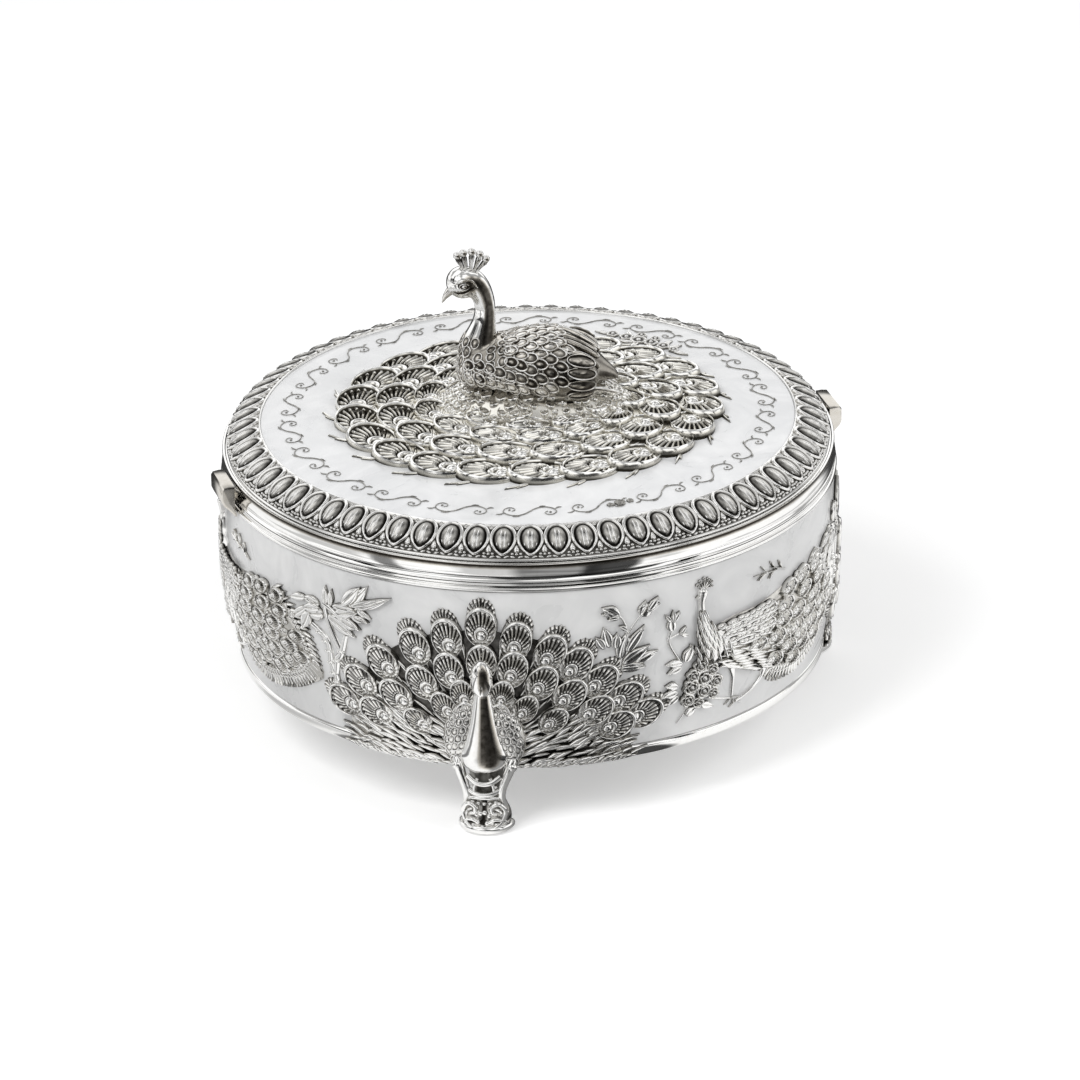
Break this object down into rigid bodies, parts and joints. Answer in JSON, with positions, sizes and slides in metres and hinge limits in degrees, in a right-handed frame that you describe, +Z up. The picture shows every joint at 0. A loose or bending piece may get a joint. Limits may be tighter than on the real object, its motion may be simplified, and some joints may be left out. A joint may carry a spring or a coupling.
{
  "type": "dry fruit box",
  "caption": "Round silver-plated serving box with pearl enamel wall and lid, peacock feet, peacock knob, egg-and-dart lid edge and a divided tray inside.",
  "frame": {"origin": "on the drum's axis, at the level of the three soles", "axes": "+Z up along the drum's axis, -Y towards the front, +X to the right as seen from the front; the knob peacock faces -X"},
  "size_m": [0.294, 0.2924, 0.2276],
  "materials": {
    "silver_plate": "bright polished silver plate over spun metal",
    "cast_silver": "silver-plated casting, bright on the ridges and slightly warm in the recesses",
    "side_enamel": "pale grey pearl enamel with brushed marbling",
    "lid_enamel": "white pearl enamel with brushed marbling",
    "steel": "plain steel fasteners",
    "tray_metal": "satin silver-coloured tray"
  },
  "bodies": {
    "box": {"drum_wall": "silver_plate", "drum_floor": "silver_plate", "bottom_rim": "silver_plate", "side_enamel": "side_enamel", "belt_moulding": "silver_plate", "rim_band": "silver_plate", "handle_right": "silver_plate", "handle_left": "silver_plate", "foot_front": "cast_silver", "foot_right": "cast_silver", "foot_left": "cast_silver", "foot_screw_front": "steel", "foot_screw_right": "steel", "foot_screw_left": "steel", "feather_fan_front": "cast_silver", "feather_fan_right": "cast_silver", "feather_fan_left": "cast_silver", "walking_peacock_front": "cast_silver", "walking_peacock_right": "cast_silver", "walking_peacock_left": "cast_silver", "bamboo_front": "cast_silver", "bamboo_right": "cast_silver", "bamboo_left": "cast_silver", "leafy_branch_front": "cast_silver", "leafy_branch_right": "cast_silver", "leafy_branch_left": "cast_silver", "peony_spray_front": "cast_silver", "peony_spray_right": "cast_silver", "peony_spray_left": "cast_silver"},
    "tray": {"tray_pan": "tray_metal", "tray_divider_long": "tray_metal", "tray_divider_cross": "tray_metal"},
    "lid": {"lid_pan": "silver_plate", "lid_enamel": "lid_enamel", "egg_ring": "silver_plate", "feather_rosette": "cast_silver", "scroll_border": "cast_silver", "lid_spray": "cast_silver", "knob_peacock": "cast_silver", "knob_washer": "steel", "knob_screw": "steel"}
  },
  "joints": [
    {"name": "lid_lift", "type": "slide", "parent": "box", "child": "lid", "axis": [0, 0, 1], "range_m": [0, 0.18]},
    {"name": "tray_lift", "type": "slide", "parent": "box", "child": "tray", "axis": [0, 0, 1], "range_m": [0, 0.02]}
  ]
}
